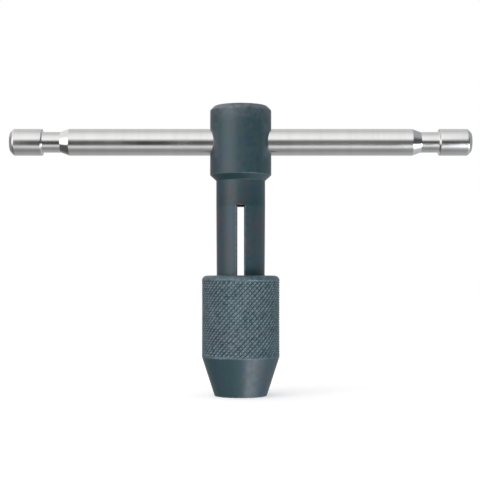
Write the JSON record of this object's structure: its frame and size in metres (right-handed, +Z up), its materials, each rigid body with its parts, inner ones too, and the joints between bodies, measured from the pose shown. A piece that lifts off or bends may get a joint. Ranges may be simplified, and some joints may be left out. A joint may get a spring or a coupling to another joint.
{
  "type": "tap wrench",
  "caption": "T-handle tap wrench with a sliding bar handle, a slotted shank with V-notched jaws and a knurled chuck nut that closes them.",
  "frame": {"origin": "centre of the chuck nut's nose face, with the jaws open", "axes": "+Z up the tool's axis from the nose to the head, X along the handle bar"},
  "size_m": [0.1642, 0.0276, 0.1028],
  "materials": {
    "body_black_oxide": "black oxide on turned steel, semi-matt",
    "nut_black_oxide": "black oxide on knurled and turned steel, semi-matt",
    "bar_bright_nickel": "bright nickel plate over ground steel",
    "ball_steel": "polished bearing steel",
    "spring_steel": "drawn spring wire",
    "screw_black_oxide": "black oxide"
  },
  "bodies": {
    "body": {"wrench_body": "body_black_oxide", "detent_screw": "screw_black_oxide", "detent_spring": "spring_steel"},
    "left_leg": {"left_jaw_leg": "body_black_oxide"},
    "right_leg": {"right_jaw_leg": "body_black_oxide"},
    "nut_carrier": {"chuck_nut_thread": "nut_black_oxide"},
    "nut": {"chuck_nut": "nut_black_oxide"},
    "bar": {"handle_bar": "bar_bright_nickel"},
    "ball": {"detent_ball": "ball_steel"}
  },
  "joints": [
    {"name": "handle_slide", "type": "slide", "parent": "body", "child": "bar", "axis": [1, 0, 0], "range_m": [-0.0685, 0.0685]},
    {"name": "nut_travel", "type": "slide", "parent": "body", "child": "nut_carrier", "axis": [0, 0, 1], "range_m": [0, 0.0033]},
    {"name": "nut_turn", "type": "hinge", "parent": "nut_carrier", "child": "nut", "pos_m": [0, 0, 0.03], "axis": [0, 0, 1], "range_deg": [0, 936.3]},
    {"name": "left_leg_close", "type": "hinge", "parent": "body", "child": "left_leg", "pos_m": [-0.0012, 0, 0.0674], "axis": [0, -1, 0], "range_deg": [0, 0.981]},
    {"name": "right_leg_close", "type": "hinge", "parent": "body", "child": "right_leg", "pos_m": [0.0012, 0, 0.0674], "axis": [0, 1, 0], "range_deg": [0, 0.981]},
    {"name": "ball_press", "type": "slide", "parent": "body", "child": "ball", "axis": [0, 0, 1], "range_m": [-0.0008, 0], "stiffness_N_per_m": 1500, "springref_m": 0.0008, "deforming": ["detent_spring"]}
  ],
  "couplings": [
    {"joint": "nut_turn", "follows": "nut_travel", "rad_per_m": 4947.4},
    {"joint": "left_leg_close", "follows": "nut_travel", "rad_per_m": 5.18},
    {"joint": "right_leg_close", "follows": "nut_travel", "rad_per_m": 5.18}
  ]
}
